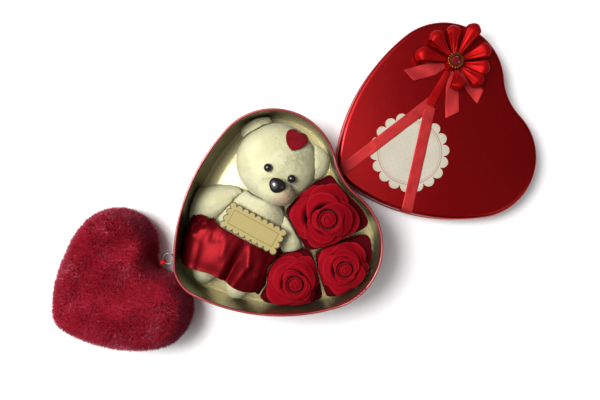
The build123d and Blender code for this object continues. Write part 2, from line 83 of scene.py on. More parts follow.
# %% Hang the camera
camera_data = bpy.data.cameras.new("photo_camera")
camera_data.lens = 32.8
camera_data.sensor_width = 36.0
camera_data.clip_start = 0.01
camera = bpy.data.objects.new("photo_camera", camera_data)
camera.location = (0.0319, 0.0042, 0.430)
camera.rotation_euler = (0, 0, math.radians(-31.88))
scene.collection.objects.link(camera)
scene.camera = camera
print("camera", round(camera.location.z / MM), "mm above the floor")

# %% [markdown]
# ## Writing a material as a sum
# A node tree is a formula drawn as boxes. The class below wraps one socket, so that a formula can
# be written with plus and times signs, and every sign adds its Math node. Other nodes come from one
# method, which takes the type, the settings and then the values for the sockets.

# %% A socket that can be added and multiplied
class Value:
    def __init__(self, finish, socket):
        self.finish = finish
        self.socket = socket

    def join(self, operation, first, second):
        return self.finish.node("ShaderNodeMath", {"operation": operation}, {0: first, 1: second})

    def __add__(self, other):
        return self.join("ADD", self, other)

    def __radd__(self, other):
        return self.join("ADD", other, self)

    def __sub__(self, other):
        return self.join("SUBTRACT", self, other)

    def __rsub__(self, other):
        return self.join("SUBTRACT", other, self)

    def __mul__(self, other):
        return self.join("MULTIPLY", self, other)

    def __rmul__(self, other):
        return self.join("MULTIPLY", other, self)

    def most(self, other):
        return self.join("MAXIMUM", self, other)


# %% A material under construction
class Finish:
    def __init__(self, name, constants):
        self.material = bpy.data.materials.new(name)
        self.material.use_nodes = True
        self.tree = self.material.node_tree
        self.shader = self.tree.nodes["Principled BSDF"]
        for socket, value in constants.items():
            self.feed(self.shader.inputs[socket], value)

    def feed(self, socket, value):
        if isinstance(value, Value):
            self.tree.links.new(value.socket, socket)
        elif socket.type == "RGBA":
            socket.default_value = (*value[:3], 1.0)
        else:
            socket.default_value = value

    def node(self, kind, settings, sockets, out=0):
        made = self.tree.nodes.new(kind)
        for name, value in settings.items():
            setattr(made, name, value)
        for name, value in sockets.items():
            self.feed(made.inputs[name], value)
        return Value(self, made.outputs[out])

    def set(self, socket, value):
        self.feed(self.shader.inputs[socket], value)

    def spot(self, centre=(0, 0, 0), turn=0.0, size=(1, 1, 1)):
        here = self.node("ShaderNodeTexCoord", {}, {}, "Object")
        return self.node("ShaderNodeMapping", {"vector_type": "TEXTURE"},
                         {"Vector": here, "Location": centre,
                          "Rotation": (0, 0, math.radians(turn)), "Scale": size})

    def cloth_spot(self, size=(1, 1, 1)):
        here = self.node("ShaderNodeTexCoord", {}, {}, "UV")
        return self.node("ShaderNodeMapping", {"vector_type": "TEXTURE"}, {"Vector": here, "Scale": size})

    def grain(self, where, scale, detail=2.0):
        return self.node("ShaderNodeTexNoise", {}, {"Vector": where, "Scale": scale, "Detail": detail})

    def ribs(self, where, scale, distortion=0.0, way="X"):
        return self.node("ShaderNodeTexWave", {"bands_direction": way},
                         {"Vector": where, "Scale": scale, "Distortion": distortion}, "Fac")

    def part(self, where, axis):
        return self.node("ShaderNodeSeparateXYZ", {}, {0: where}, axis)

    def ramp(self, value, low, high, first=0.0, last=1.0):
        return self.node("ShaderNodeMapRange", {"interpolation_type": "SMOOTHSTEP"},
                         {"Value": value, "From Min": low, "From Max": high,
                          "To Min": first, "To Max": last})

    def mix(self, share, first, second):
        return self.node("ShaderNodeMix", {"data_type": "RGBA"}, {0: share, 6: first, 7: second}, 2)

    def length(self, where):
        return self.node("ShaderNodeVectorMath", {"operation": "LENGTH"}, {0: where}, "Value")

    def facing(self, where):
        normal = self.node("ShaderNodeNewGeometry", {}, {}, "Normal")
        return self.node("ShaderNodeVectorMath", {"operation": "DOT_PRODUCT"},
                         {0: where, 1: normal}, "Value")

    def bump(self, height, strength, depth):
        self.set("Normal", self.node("ShaderNodeBump", {}, {"Height": height, "Strength": strength,
                                                            "Distance": depth}))


def paint(red, green, blue):
    def linear(level):
        level /= 255
        return level / 12.92 if level <= 0.04045 else ((level + 0.055) / 1.055) ** 2.4
    return linear(red), linear(green), linear(blue)


print("lacquer red is", [round(x, 3) for x in paint(176, 16, 24)])

# %% [markdown]
# ## Tinplate
# The tin is thin steel sheet, lacquered red outside and left bare inside. One sheet has both
# finishes, so the material asks which way a point faces: away from the middle of the tin is the
# outside. The rolled rim is red all round. Fine scratches run round the wall, as the rollers leave
# them. Along the crest of the rim the lacquer turns paler in patches, partly wear and partly a
# painted highlight.

# %% Red lacquer outside, bare sheet inside
def tin_wall_finish():
    f = Finish("tin_red_lacquer", {"Coat Roughness": 0.12, "IOR": 1.5})
    here = f.spot()
    outside = f.ramp(f.facing(here), -0.002, 0.002)
    height = f.part(here, "Z")
    red = outside.most(f.ramp(height, 0.0459, 0.0463))
    cloud = f.grain(here, 22.0, 3.0)
    drawn = f.grain(f.spot(size=(1, 1, 0.02)), 60.0, 3.0)
    # Paler patches on the crest of the rim: partly wear, partly painted highlight.
    rim_wear_and_highlight = f.ramp(height, 0.0474, 0.0479) * f.ramp(cloud, 0.45, 0.7)
    lacquer = f.mix(cloud, paint(122, 4, 12), paint(150, 12, 20))
    lacquer = f.mix(rim_wear_and_highlight * 0.3, lacquer, paint(225, 120, 120))
    sheet = f.mix(drawn, paint(136, 128, 104), paint(182, 174, 146))
    f.set("Base Color", f.mix(red, sheet, lacquer))
    f.set("Metallic", 0.92 - 0.62 * red)
    f.set("Roughness", 0.22 + 0.14 * drawn + 0.06 * red)
    f.set("Coat Weight", 0.7 * red)
    f.bump(drawn + 0.3 * cloud, 0.06, 0.0003)
    return f.material


def tin_floor_finish():
    f = Finish("tin_bare_sheet", {"IOR": 1.5})
    here = f.spot()
    drawn = f.grain(f.spot(turn=20.0, size=(1, 0.03, 1)), 45.0, 3.0)
    cloud = f.grain(here, 30.0, 2.0)
    f.set("Base Color", f.mix(cloud, paint(186, 176, 126), paint(202, 192, 146)))
    f.set("Metallic", 0.8 + 0.15 * cloud)
    f.set("Roughness", 0.16 + 0.14 * drawn)
    f.bump(drawn, 0.05, 0.0003)
    return f.material


def coat(node, material):
    mesh = nodes[node].data
    mesh.materials.clear()
    mesh.materials.append(material)
    print(node, "is finished in", material.name)


coat("base_wall", tin_wall_finish())
coat("base_floor", tin_floor_finish())

# %% [markdown]
# ## The lid
# The lid is drawn from one sheet and sprayed with a clear red lacquer over the bright metal, so it
# is both coloured and mirror-like. A metallic base under a clear coat gives both. Sprayed lacquer
# is never quite flat, and a very slow bump gives the wavering edge of a reflection.

# %% Lid lacquer, label paper, stone and setting
def lid_finish():
    f = Finish("lid_red_lacquer", {"Coat Weight": 0.25, "Coat Roughness": 0.1, "IOR": 1.5})
    here = f.spot()
    cloud = f.grain(here, 16.0, 2.0)
    fleck = f.grain(here, 2600.0, 1.0)
    scuff = f.ramp(f.grain(f.spot(turn=35.0, size=(1, 0.05, 1)), 120.0, 2.0), 0.62, 0.72)
    colour = f.mix(cloud, paint(160, 4, 11), paint(176, 8, 14))
    colour = f.mix(0.06 * fleck, colour, paint(226, 60, 60))
    f.set("Base Color", f.mix(0.03 * scuff, colour, paint(240, 150, 150)))
    f.set("Metallic", 0.88 + 0.08 * fleck)
    f.set("Roughness", 0.26 + 0.04 * cloud + 0.04 * scuff)
    f.bump(cloud, 0.02, 0.0006)
    return f.material


def label_finish():
    f = Finish("label_paper", {"Roughness": 0.62})
    centre = lid_frame @ Vector((-18.7 * MM, -7.4 * MM, 0))
    here = f.spot(tuple(centre.xy) + (0.0,), LID_TURN)
    flat = f.node("ShaderNodeVectorMath", {"operation": "MULTIPLY"}, {0: here, 1: (1, 1, 0)})
    out = f.length(flat)
    fibre = f.grain(f.spot(size=(1, 0.3, 1)), 900.0, 3.0)
    cloud = f.grain(here, 60.0, 2.0)
    ring = f.ramp(out, 0.0236, 0.0238) * f.ramp(out, 0.0244, 0.0242)
    inner = f.ramp(out, 0.0224, 0.0225) * f.ramp(out, 0.0228, 0.0227)
    dots = f.ramp(f.node("ShaderNodeTexVoronoi", {"voronoi_dimensions": "2D"},
                         {"Vector": here, "Scale": 260.0, "Randomness": 0.0}, "Distance"), 0.16, 0.12)
    dotted = dots * f.ramp(out, 0.0215, 0.0212)
    paper = f.mix(cloud, paint(176, 170, 152), paint(198, 192, 174))
    paper = f.mix(0.25 * fibre, paper, paint(160, 150, 130))
    paper = f.mix(0.22 * dotted, paper, paint(188, 92, 84))
    paper = f.mix(0.7 * ring.most(inner), paper, paint(150, 60, 58))
    f.set("Base Color", f.mix(f.ramp(out, 0.0262, 0.0296, 0.0, 0.3), paper, paint(170, 140, 120)))
    f.bump(fibre, 0.15, 0.0001)
    return f.material


def gold_finish():
    f = Finish("gold_metal", {"Metallic": 1.0})
    here = f.spot()
    cloud = f.grain(here, 700.0, 2.0)
    f.set("Base Color", f.mix(cloud, paint(132, 48, 26), paint(206, 122, 66)))
    f.set("Roughness", 0.16 + 0.2 * cloud)
    f.bump(cloud, 0.1, 0.0001)
    return f.material


def stone_finish():
    f = Finish("red_stone", {"Coat Weight": 1.0, "Coat Roughness": 0.03, "IOR": 1.7})
    here = f.spot()
    depth = f.grain(here, 380.0, 2.0)
    f.set("Base Color", f.mix(depth, paint(70, 0, 8), paint(140, 8, 24)))
    f.set("Roughness", 0.05 + 0.08 * depth)
    f.set("Metallic", 0.35 * depth)
    return f.material


coat("lid_shell", lid_finish())
coat("lid_label", label_finish())
coat("gem_setting", gold_finish())
coat("gem", stone_finish())

# %% [markdown]
# ## Beads, wood and wire
# The small hard pieces keep their solids. The tag is cut from thin plywood with a hot beam, which
# leaves its scalloped edge brown, so the faces that look sideways are burnt. The grain is a stretched
# noise that runs along the tag.

# %% Black beads, wooden tag, steel ring, foam under the petals
def bead_finish():
    f = Finish("black_bead", {"Coat Weight": 0.5, "Coat Roughness": 0.06, "IOR": 1.42})
    dust = f.grain(f.spot(), 900.0, 3.0)
    f.set("Base Color", f.mix(dust, (0.004, 0.004, 0.005), (0.02, 0.018, 0.018)))
    f.set("Roughness", 0.08 + 0.14 * dust)
    return f.material


def wood_finish():
    f = Finish("tag_wood", {"IOR": 1.45})
    centre, turn = bear_frame @ Vector((5.6 * MM, -50.5 * MM, 0)), -60.35
    here = f.spot(tuple(centre), turn)
    grain = f.grain(f.spot(tuple(centre), turn, (1, 0.06, 1)), 420.0, 4.0)
    pore = f.grain(f.spot(tuple(centre), turn, (1, 0.12, 1)), 1500.0, 2.0)
    level = f.facing((0, 0, 1))
    wide = f.node("ShaderNodeMath", {"operation": "ABSOLUTE"}, {0: f.part(here, "X")})
    tall = f.node("ShaderNodeMath", {"operation": "ABSOLUTE"}, {0: f.part(here, "Y")})
    half_wide, half_tall, scallop = 20.3 * MM, 7.55 * MM, 2.7 * MM

    def scorch(along, half, steps, beyond, half_beyond):
        # How far a point is from the centre of the nearest scallop, as a burnt rim.
        side = f.node("ShaderNodeMath", {"operation": "PINGPONG"}, {0: along + half, 1: half / steps})
        over = f.ramp(beyond, half_beyond - 0.2 * MM, half_beyond + 0.2 * MM)
        out = (beyond - half_beyond).most(0.0)
        far = f.node("ShaderNodeMath", {"operation": "SQRT"}, {0: side * side + out * out})
        return over * f.ramp(far, scallop - 1.0 * MM, scallop - 0.2 * MM)

    rim = scorch(f.part(here, "X"), half_wide, 8, tall, half_tall)
    rim = rim.most(scorch(f.part(here, "Y"), half_tall, 3, wide, half_wide))
    line = f.ramp(wide, 0.0176, 0.0178).most(f.ramp(tall, 0.0050, 0.0052))
    line = line * (1 - f.ramp(wide, 0.0181, 0.0183).most(f.ramp(tall, 0.0055, 0.0057)))
    wood = f.mix(grain, paint(146, 130, 70), paint(180, 165, 102))
    wood = f.mix(0.3 * pore, wood, paint(140, 116, 62))
    wood = f.mix((0.95 * rim).most(0.6 * line), wood, paint(62, 42, 20))
    f.set("Base Color", f.mix(f.ramp(level, 0.8, 0.3), wood, paint(70, 42, 20)))
    f.set("Roughness", 0.5 + 0.2 * pore)
    f.bump(grain + pore, 0.15, 0.0002)
    return f.material


def steel_finish():
    f = Finish("steel_ring", {"Metallic": 1.0})
    scratch = f.grain(f.spot(size=(1, 1, 0.2)), 1800.0, 2.0)
    f.set("Base Color", f.mix(scratch, paint(74, 66, 66), paint(126, 116, 114)))
    f.set("Roughness", 0.14 + 0.16 * scratch)
    return f.material


def stalk_finish():
    f = Finish("rose_stalk", {"Roughness": 0.8})
    cell = f.grain(f.spot(), 900.0, 3.0)
    f.set("Base Color", f.mix(cell, paint(26, 40, 22), paint(54, 74, 40)))
    f.bump(cell, 0.4, 0.0004)
    return f.material


bead_black = bead_finish()
coat("bear_eyes", bead_black)
coat("bear_tag", wood_finish())
coat("plush_ring", steel_finish())
stalk_paint = stalk_finish()
for rose in "abc":
    coat(f"rose_{rose}_stalk", stalk_paint)

# %% [markdown]
# ## Cloth finishes
# Satin shines because its long threads all lie one way. A fine rib across the ribbon's own map and
# a sheen give that, and streaks of painted sheen, lighter and darker, run along it in the base
# colour. Plush is a knitted back with cut pile, and its tips catch the light, so the pile below
# carries an attribute that is zero at the root of a tuft and one at its tip. With it the roots are
# painted darker as shade and the tips lighter as light.

# %% Satin, velvet and plush
def satin_finish(name, dark, bright, rough):
    f = Finish(name, {"Metallic": 0.5, "Specular Tint": paint(255, 160, 140),
                      "Sheen Weight": 0.02, "Sheen Roughness": 0.3,
                      "Sheen Tint": paint(255, 120, 100), "Specular IOR Level": 0.15})
    where = f.cloth_spot()
    thread = f.ribs(where, 0.9, 0.3, "Y")
    cross = f.ribs(where, 1.6, 0.2, "X")
    # Painted sheen: stretched streaks along the cloth, lighter and darker in the base colour.
    painted_sheen_streak = f.grain(f.cloth_spot((6, 0.8, 1)), 1.0, 2.0)
    f.set("Base Color", f.mix(0.75 * painted_sheen_streak + 0.25 * thread, dark, bright))
    f.set("Roughness", rough + 0.12 * painted_sheen_streak + 0.05 * thread)
    f.bump(thread + 0.5 * cross, 0.1, 0.00008)
    return f.material


def pile_finish(name, root, body, tip, sheen, weight, painted_rose_glow=None):
    f = Finish(name, {"Sheen Weight": weight, "Sheen Roughness": 0.45, "Sheen Tint": sheen,
                      "Specular IOR Level": 0.1})
    here = f.spot()
    tuft = f.node("ShaderNodeAttribute", {"attribute_name": "tip"}, {}, "Fac")
    cloud = f.ramp(f.grain(here, 60.0, 3.0), 0.35, 0.7)
    speck = f.grain(here, 1400.0, 2.0)
    # Painted light and shade: roots darker, tips lighter, and clouds and specks lean to the lit tip
    # colour.
    colour = f.mix(tuft, root, body)
    colour = f.mix(0.45 * cloud + 0.25 * speck * tuft, colour, tip)
    # Painted reflection: a pink glow round one spot on the face stands for red light from the roses.
    if painted_rose_glow:
        centre, reach, pink = painted_rose_glow
        near = f.ramp(f.length(f.spot(centre)), reach, 0.2 * reach)
        colour = f.mix(0.35 * near, colour, pink)
    f.set("Base Color", colour)
    f.set("Roughness", 0.8 + 0.15 * speck)
    f.bump(speck, 0.2, 0.0002)
    return f.material


# The straps and the cut ends are the same ribbon as the bow, given a lighter copy of its finish as
# painted light; the darker copy also covers the stem as painted shade under the bow.
ribbon_satin = satin_finish("satin_ribbon", paint(112, 3, 9), paint(184, 19, 21), 0.36)
lit_ribbon_satin = satin_finish("lit_ribbon_satin", paint(158, 28, 34), paint(194, 60, 60), 0.40)
skirt_satin = satin_finish("skirt_satin", paint(84, 5, 15), paint(112, 12, 20), 0.29)
# A brownish thread colour for the strip of painted shade in the crease beside the muzzle.
painted_crease_thread = satin_finish("painted_crease_thread", paint(130, 86, 70), paint(168, 124, 104), 0.6)
# Where the roses' red light is painted onto the bear's face as a pink glow.
rose_glow_spot = tuple(bear_frame @ Vector((18 * MM, -22 * MM, 40 * MM)))
cream_plush = pile_finish("cream_plush", paint(188, 183, 142), paint(208, 205, 166), paint(224, 222, 192),
                          paint(255, 252, 235), 0.35, (rose_glow_spot, 0.012, paint(214, 120, 112)))
patch_velvet = pile_finish("red_velvet", paint(84, 2, 12), paint(140, 10, 26), paint(176, 30, 46),
                           paint(255, 120, 120), 0.3)
red_plush = pile_finish("red_plush", paint(96, 2, 14), paint(140, 8, 26), paint(160, 24, 46),
                        paint(255, 130, 160), 0.6)
print("cloth finishes:", ribbon_satin.name, skirt_satin.name, cream_plush.name, red_plush.name)

# %% [markdown]
# ## Putting a piece in the scene
# Every new piece is a mesh object at the origin that rides on a body of the imported model, hides the
# solids it replaces, and gets its material. One function does these jobs, so that none is forgotten. A
# few more make strips of cloth, which the skirt and every ribbon start from.

# %% One function for all new pieces
def put(name, bm, material, body, replaced, smooth=True):
    mesh = bpy.data.meshes.new(name)
    bm.to_mesh(mesh)
    bm.free()
    piece = bpy.data.objects.new(name, mesh)
    scene.collection.objects.link(piece)
    mesh.materials.append(material)
    mesh.polygons.foreach_set("use_smooth", [smooth] * len(mesh.polygons))
    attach(piece, body)
    if replaced:
        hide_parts(*replaced)
    return piece


def applied(piece):
    depsgraph = bpy.context.evaluated_depsgraph_get()
    made = bpy.data.meshes.new_from_object(piece.evaluated_get(depsgraph))
    piece.modifiers.clear()
    piece.data = made
    return made


def thicken(piece, thickness, levels=1):
    wall = piece.modifiers.new("thickness", "SOLIDIFY")
    wall.thickness = thickness
    wall.offset = 0.0
    if levels:
        soft = piece.modifiers.new("soft", "SUBSURF")
        soft.levels = levels
        soft.render_levels = levels
    return piece


# %% Strips of cloth
def cloth_grid(along, across):
    # A flat strip of squares with the map that the cloth finishes read.
    bm = bmesh.new()
    bm.loops.layers.uv.new("cloth")
    bmesh.ops.create_grid(bm, x_segments=along, y_segments=across, size=0.5, calc_uvs=True)
    return bm


def scale_map(bm, long, wide):
    # The map gets the size of the cloth in millimetres, so threads are equally fine on every strip.
    cloth_map = bm.loops.layers.uv["cloth"]
    for face in bm.faces:
        for loop in face.loops:
            loop[cloth_map].uv = (loop[cloth_map].uv.x * long, loop[cloth_map].uv.y * wide)


def cloth_area(bm):
    return sum(face.calc_area() for face in bm.faces)


def relax(bm, factor, times=1):
    for turn in range(times):
        bmesh.ops.smooth_vert(bm, verts=bm.verts, factor=factor,
                              use_axis_x=True, use_axis_y=True, use_axis_z=True)


# %% [markdown]
# ## Stuffing
# A stuffed toy is a closed cloth bag blown full of fibre. Each soft solid is copied, remeshed into
# even squares, pulled in a little and then blown up as cloth under pressure, so that its edges round
# off and its seams draw in as sewn ones do. The bear's bags swell in one run of twenty frames and the
# heart in another. A limit on the way that a point may go keeps every bag in the room it has.

# %% Copy a soft solid as an even cloth bag
def welded_copy(node):
    # Joining doubled corners can store a mesh in another order each run, so it is listed by place.
    bm = bmesh.new()
    bm.from_mesh(nodes[node].data)
    bmesh.ops.remove_doubles(bm, verts=bm.verts, dist=1e-6)
    corners = sorted(bm.verts, key=lambda vert: tuple(vert.co))
    number = {vert: place for place, vert in enumerate(corners)}
    faces = []
    for face in bm.faces:
        around = [number[vert] for vert in face.verts]
        first = around.index(min(around))
        faces.append(around[first:] + around[:first])
    stored = bpy.data.meshes.new("welded")
    stored.from_pydata([vert.co.copy() for vert in corners], [], sorted(faces))
    bm.clear()
    bm.from_mesh(stored)
    bpy.data.meshes.remove(stored)
    return bm


def cloth_bag(node, body, material, voxel, slack):
    bag = put(node + "_soft", welded_copy(node), material, body, [node])
    even = bag.modifiers.new("even", "REMESH")
    even.mode = "VOXEL"
    even.voxel_size = voxel * MM
    applied(bag)
    bm = bmesh.new()
    bm.from_mesh(bag.data)
    relax(bm, 0.5)
    bm.normal_update()
    for vert in bm.verts:
        vert.co -= vert.normal * slack * MM
    bm.to_mesh(bag.data)
    bm.free()
    bag.data.materials.clear()
    bag.data.materials.append(material)
    return bag


SWELL_FRAMES = 20


def swell(bags, limit):
    starts = [[vert.co.copy() for vert in bag.data.vertices] for bag in bags]
    for bag in bags:
        cloth = bag.modifiers.new("stuffing", "CLOTH")
        cloth.settings.quality = 4
        cloth.settings.use_pressure = True
        cloth.settings.uniform_pressure_force = 4.0
        cloth.settings.effector_weights.gravity = 0.0
        cloth.collision_settings.use_collision = False
        cloth.point_cache.frame_start = 1
        cloth.point_cache.frame_end = SWELL_FRAMES
    for step in range(1, SWELL_FRAMES + 1):
        scene.frame_set(step)
    most = 0.0
    for bag, start in zip(bags, starts):
        depsgraph = bpy.context.evaluated_depsgraph_get()
        ends = [vert.co.copy() for vert in bag.evaluated_get(depsgraph).data.vertices]
        bag.modifiers.clear()
        for vert, here, there in zip(bag.data.vertices, start, ends):
            way = there - here
            most = max(most, way.length)
            vert.co = here + way * min(1.0, limit * MM / max(way.length, 1e-9))
    scene.frame_set(1)
    print(len(bags), "bags swelled, furthest point", round(most / MM, 2), "mm before the limit")


# %% [markdown]
# ## Pile
# Plush has thousands of tufts. Poking a face puts a new point in its middle, and pulling that point
# out along the normal makes a small spike, so one operator covers a whole bag with pile that is
# closed at its foot. Every tuft leans and differs a little. Both the random numbers and the noise have
# a fixed seed, so each run gives the same pile. No tuft goes under the table.

# %% Grow pile on a bag
noise.seed_set(5)


def any_way(chance):
    return Vector((chance.uniform(-1, 1), chance.uniform(-1, 1), chance.uniform(-1, 1)))


def grow_pile(bag, cuts, length, lean, seed, ruffle=0.45):
    chance = random.Random(seed)
    bm = bmesh.new()
    bm.from_mesh(bag.data)
    for cut in range(cuts):
        bmesh.ops.subdivide_edges(bm, edges=bm.edges, cuts=1, use_grid_fill=True)
        relax(bm, 0.4)
    edge = sum(e.calc_length() for e in bm.edges) / len(bm.edges)
    bm.normal_update()
    for vert in bm.verts:
        loose = any_way(chance)
        vert.co += (loose - vert.normal * loose.dot(vert.normal)) * 0.3 * edge
    roots = len(bm.verts)
    tufts = bmesh.ops.poke(bm, faces=bm.faces)["verts"]
    bm.normal_update()
    for vert in tufts:
        flow = noise.noise_vector(vert.co * 60) * lean
        out = vert.normal + flow + any_way(chance) * ruffle
        vert.co += out.normalized() * length * MM * chance.uniform(0.5, 1.15)
        vert.co.z = max(vert.co.z, 0.2 * MM)
    bm.to_mesh(bag.data)
    bm.free()
    bag.data.polygons.foreach_set("use_smooth", [True] * len(bag.data.polygons))
    mark = bag.data.attributes.new("tip", "FLOAT", "POINT")
    mark.data.foreach_set("value", [0.0] * roots + [1.0] * len(tufts))
    print(bag.name, "has", len(tufts), "tufts")


# %% Find the tin wall and keep a bag off it
def tree_of(*pieces):
    depsgraph = bpy.context.evaluated_depsgraph_get()
    return [BVHTree.FromObject(piece, depsgraph) for piece in pieces]


wall_tree = tree_of(nodes["base_wall"])[0]


def clear_of_wall(bag, gap):
    pushed = 0
    for vert in bag.data.vertices:
        near, normal, index, distance = wall_tree.find_nearest(vert.co, gap * MM)
        if near is not None:
            vert.co = near + (vert.co - near).normalized() * gap * MM
            pushed += 1
    print(bag.name, "had", pushed, "points too near the wall")


# %% [markdown]
# ## The bear and the plush heart
# The bear is sewn from a head, ears, a muzzle, a body, arms and legs in short cream plush, shorn so
# close that it looks like velvet. The heart has a longer, wilder pile in crimson. They swell in the
# same way, and then each gets its own pile.

# %% Make the bags, swell them and grow their pile
bear_bags = {}
bag_cuts = (("head", 2.2, 0.9), ("body", 2.4, 0.4), ("ear_left", 1.6, 0.3), ("ear_right", 1.6, 0.3),
            ("muzzle", 1.6, 0.8), ("arm_left", 2.0, -0.2), ("arm_right", 2.0, 0.4),
            ("leg_left", 2.2, 0.4), ("leg_right", 2.2, 0.4))
for part, voxel, slack in bag_cuts:
    bear_bags[part] = cloth_bag("bear_" + part, "bear", cream_plush, voxel, slack)
heart_bag = cloth_bag("plush_heart", "plush", red_plush, 3.4, 2.4)
swell(list(bear_bags.values()), 1.1)
swell([heart_bag], 2.2)
for seed, bag in enumerate(bear_bags.values()):
    clear_of_wall(bag, 1.0)
    grow_pile(bag, 2, 0.5, 0.4, seed)
grow_pile(heart_bag, 2, 3.6, 0.9, 40, 0.7)

# %% [markdown]
# ## The heart on the head, the nose and a painted crease beside it
# A small heart of red velvet is glued on the head. It is thin, so a remesh would lose it: its solid
# is copied, cut into small faces and given a very short pile. The nose is a moulded black bead: a
# sphere, pressed flat and a little wider at one end, takes the place of its sharp solid. A thin
# brownish strip along one side of the muzzle is painted shade in the crease there. It is laid by
# dropping points onto the pile.

# %% The velvet heart, the nose and the painted crease
bm = welded_copy("bear_patch")
bmesh.ops.triangulate(bm, faces=bm.faces)
for cut in range(3):
    long_edges = [e for e in bm.edges if e.calc_length() > 1.1 * MM]
    bmesh.ops.subdivide_edges(bm, edges=long_edges, cuts=1)
    bmesh.ops.triangulate(bm, faces=bm.faces)
velvet_heart = put("bear_patch_velvet", bm, patch_velvet, "bear", ["bear_patch"])
grow_pile(velvet_heart, 0, 0.35, 0.2, 77)


def drop(trees, point):
    best = None
    for tree in trees:
        hit = tree.ray_cast(Vector((point.x, point.y, 0.2)), Vector((0, 0, -1)))[0]
        if hit is not None and (best is None or hit.z > best.z):
            best = hit
    return best


bm = bmesh.new()
bmesh.ops.create_uvsphere(bm, u_segments=40, v_segments=24, radius=1.0)
for vert in bm.verts:
    x, y, z = vert.co
    pebble = Vector((8.6 + 5.9 * (1 + 0.2 * y) * x, -15.6 + 5.4 * y, 46.2 + 2.9 * z))
    vert.co = bear_frame @ (pebble * MM)
put("bear_nose_pebble", bm, bead_black, "bear", ["bear_nose"])
# A thin strip of painted shade, laid in the crease along one side of the muzzle.
face_trees = tree_of(bear_bags["muzzle"], bear_bags["head"])
bm = bmesh.new()
bmesh.ops.create_grid(bm, x_segments=14, y_segments=2, size=0.5)
for vert in bm.verts:
    along, side = vert.co.x + 0.5, vert.co.y * 0.4
    spot = Vector((17.6 + 3.2 * along - 1.4 * along * along + side, -11.0 - 9.0 * along, 0)) * MM
    hit = drop(face_trees, bear_frame @ spot)
    vert.co = hit if hit else bear_frame @ spot
painted_crease = put("muzzle_painted_crease", bm, painted_crease_thread, "bear", [])
thicken(painted_crease, 0.4 * MM)
print("seam and", len(velvet_heart.data.polygons), "faces of velvet")

# %% [markdown]
# ## The skirt
# The skirt is one strip of satin, gathered to a band at the waist and open at the hem. A grid rolled
# into a ring is the strip sewn together. Its points are then moved as a hand would arrange the cloth:
# small gathers at the waist that melt into two wide puffs with a deep crease between them, and sharp
# crinkles where the stiff satin buckles. The waist follows the lower edge of the wooden tag. Points
# that would enter the bear, the tin or a rose are moved back out of it.

# %% The gathered satin skirt
left_panel = ((-37, 0.10, -30, 0.42, 1.1), (-30, 0.42, -25, 0.12, 1.0), (-38, 0.75, -33, 0.95, 1.2),
              (-36, 0.55, -37, 0.90, 0.9), (-20, 0.05, -16, 0.30, 0.9), (-14, 0.05, -12, 0.22, 0.8),
              (-9, 0.10, -6, 0.55, 0.9), (-24, 0.50, -22, 0.95, -0.8))
right_panel = ((8, 0.10, 12, 0.45, 1.2), (12, 0.45, 9, 0.95, 1.1), (12, 0.45, 20, 0.60, 1.0),
               (20, 0.60, 24, 0.95, 1.0), (17, 0.08, 20, 0.60, 1.1), (25, 0.20, 23, 0.55, 0.9),
               (14, 0.75, 19, 0.90, 0.9), (16, 0.20, 15, 0.70, -0.8))


def crinkle(x, share):
    # Pressed creases from one point of the cloth to another, on a slow swell.
    here = Vector((x, 34 * share))
    height = 1.6 * noise.noise(Vector((x * 0.06, share * 1.6, 2.0)))
    for x0, share0, x1, share1, crest in left_panel + right_panel:
        start, end = Vector((x0, 34 * share0)), Vector((x1, 34 * share1))
        run = min(1.0, max(0.0, (here - start).dot(end - start) / (end - start).length_squared))
        away = (here - start - (end - start) * run).length
        height += 1.7 * crest * math.exp(-(away / 1.5) ** 2)
    return height


WAIST_AT, HEM_AT = -60.2, -96.0


def skirt_point(turn, share):
    # Where the cloth lies in the bear's own millimetres, by the turn round it and the share of its depth.
    centre_x = -4.5 - 1.5 * share
    wide, deep = 31.5 + 4.0 * math.sqrt(share), 16.6 + 1.4 * math.sqrt(share)
    flat = centre_x + wide * math.cos(turn)
    waist = WAIST_AT - 0.06 * (flat - 5.6) + 0.6 * max(0.0, min(1.0, (-14.0 - flat) / 6.0))
    along = waist + (HEM_AT - waist) * share
    gather = 0.6 * math.cos(33 * turn + 2 * math.sin(3 * turn)) * (1 - share) ** 2
    puff = 2.6 * math.sin(math.pi * min(1.0, 0.12 + share)) ** 0.7
    crease_at = math.radians(73)
    off = (turn - crease_at + math.pi) % (2 * math.pi) - math.pi
    crease = -7.0 * math.exp(-(off / 0.10) ** 2) * min(1.0, 0.3 + 1.8 * share)
    ridge = 1.9 * math.exp(-((off - 0.17) / 0.06) ** 2) * min(1.0, 0.4 + share)
    buckle = crinkle(flat, share) * max(0.0, math.sin(turn)) ** 0.5 * min(1.0, 0.4 + 2 * share)
    out = gather + puff + crease + ridge + buckle
    x = centre_x + (wide + out) * math.cos(turn)
    z = 17.6 + (deep + out) * math.sin(turn)
    return Vector((x, along + 1.6 * math.sin(5 * turn) * share, max(z, 0.8)))


lower_trees = tree_of(*[bear_bags[part] for part in ("body", "leg_left", "leg_right")])
arm_trees = tree_of(bear_bags["arm_left"], bear_bags["arm_right"])
rose_centres = {rose: middle_of(f"rose_{rose}_stalk").xy for rose in "abc"}
rose_sizes = {"a": 22.0, "b": 19.5, "c": 18.0}
ARM_GAP, BAG_GAP, WALL_GAP, ROSE_GAP = 1.0, 1.5, 1.4, 0.7


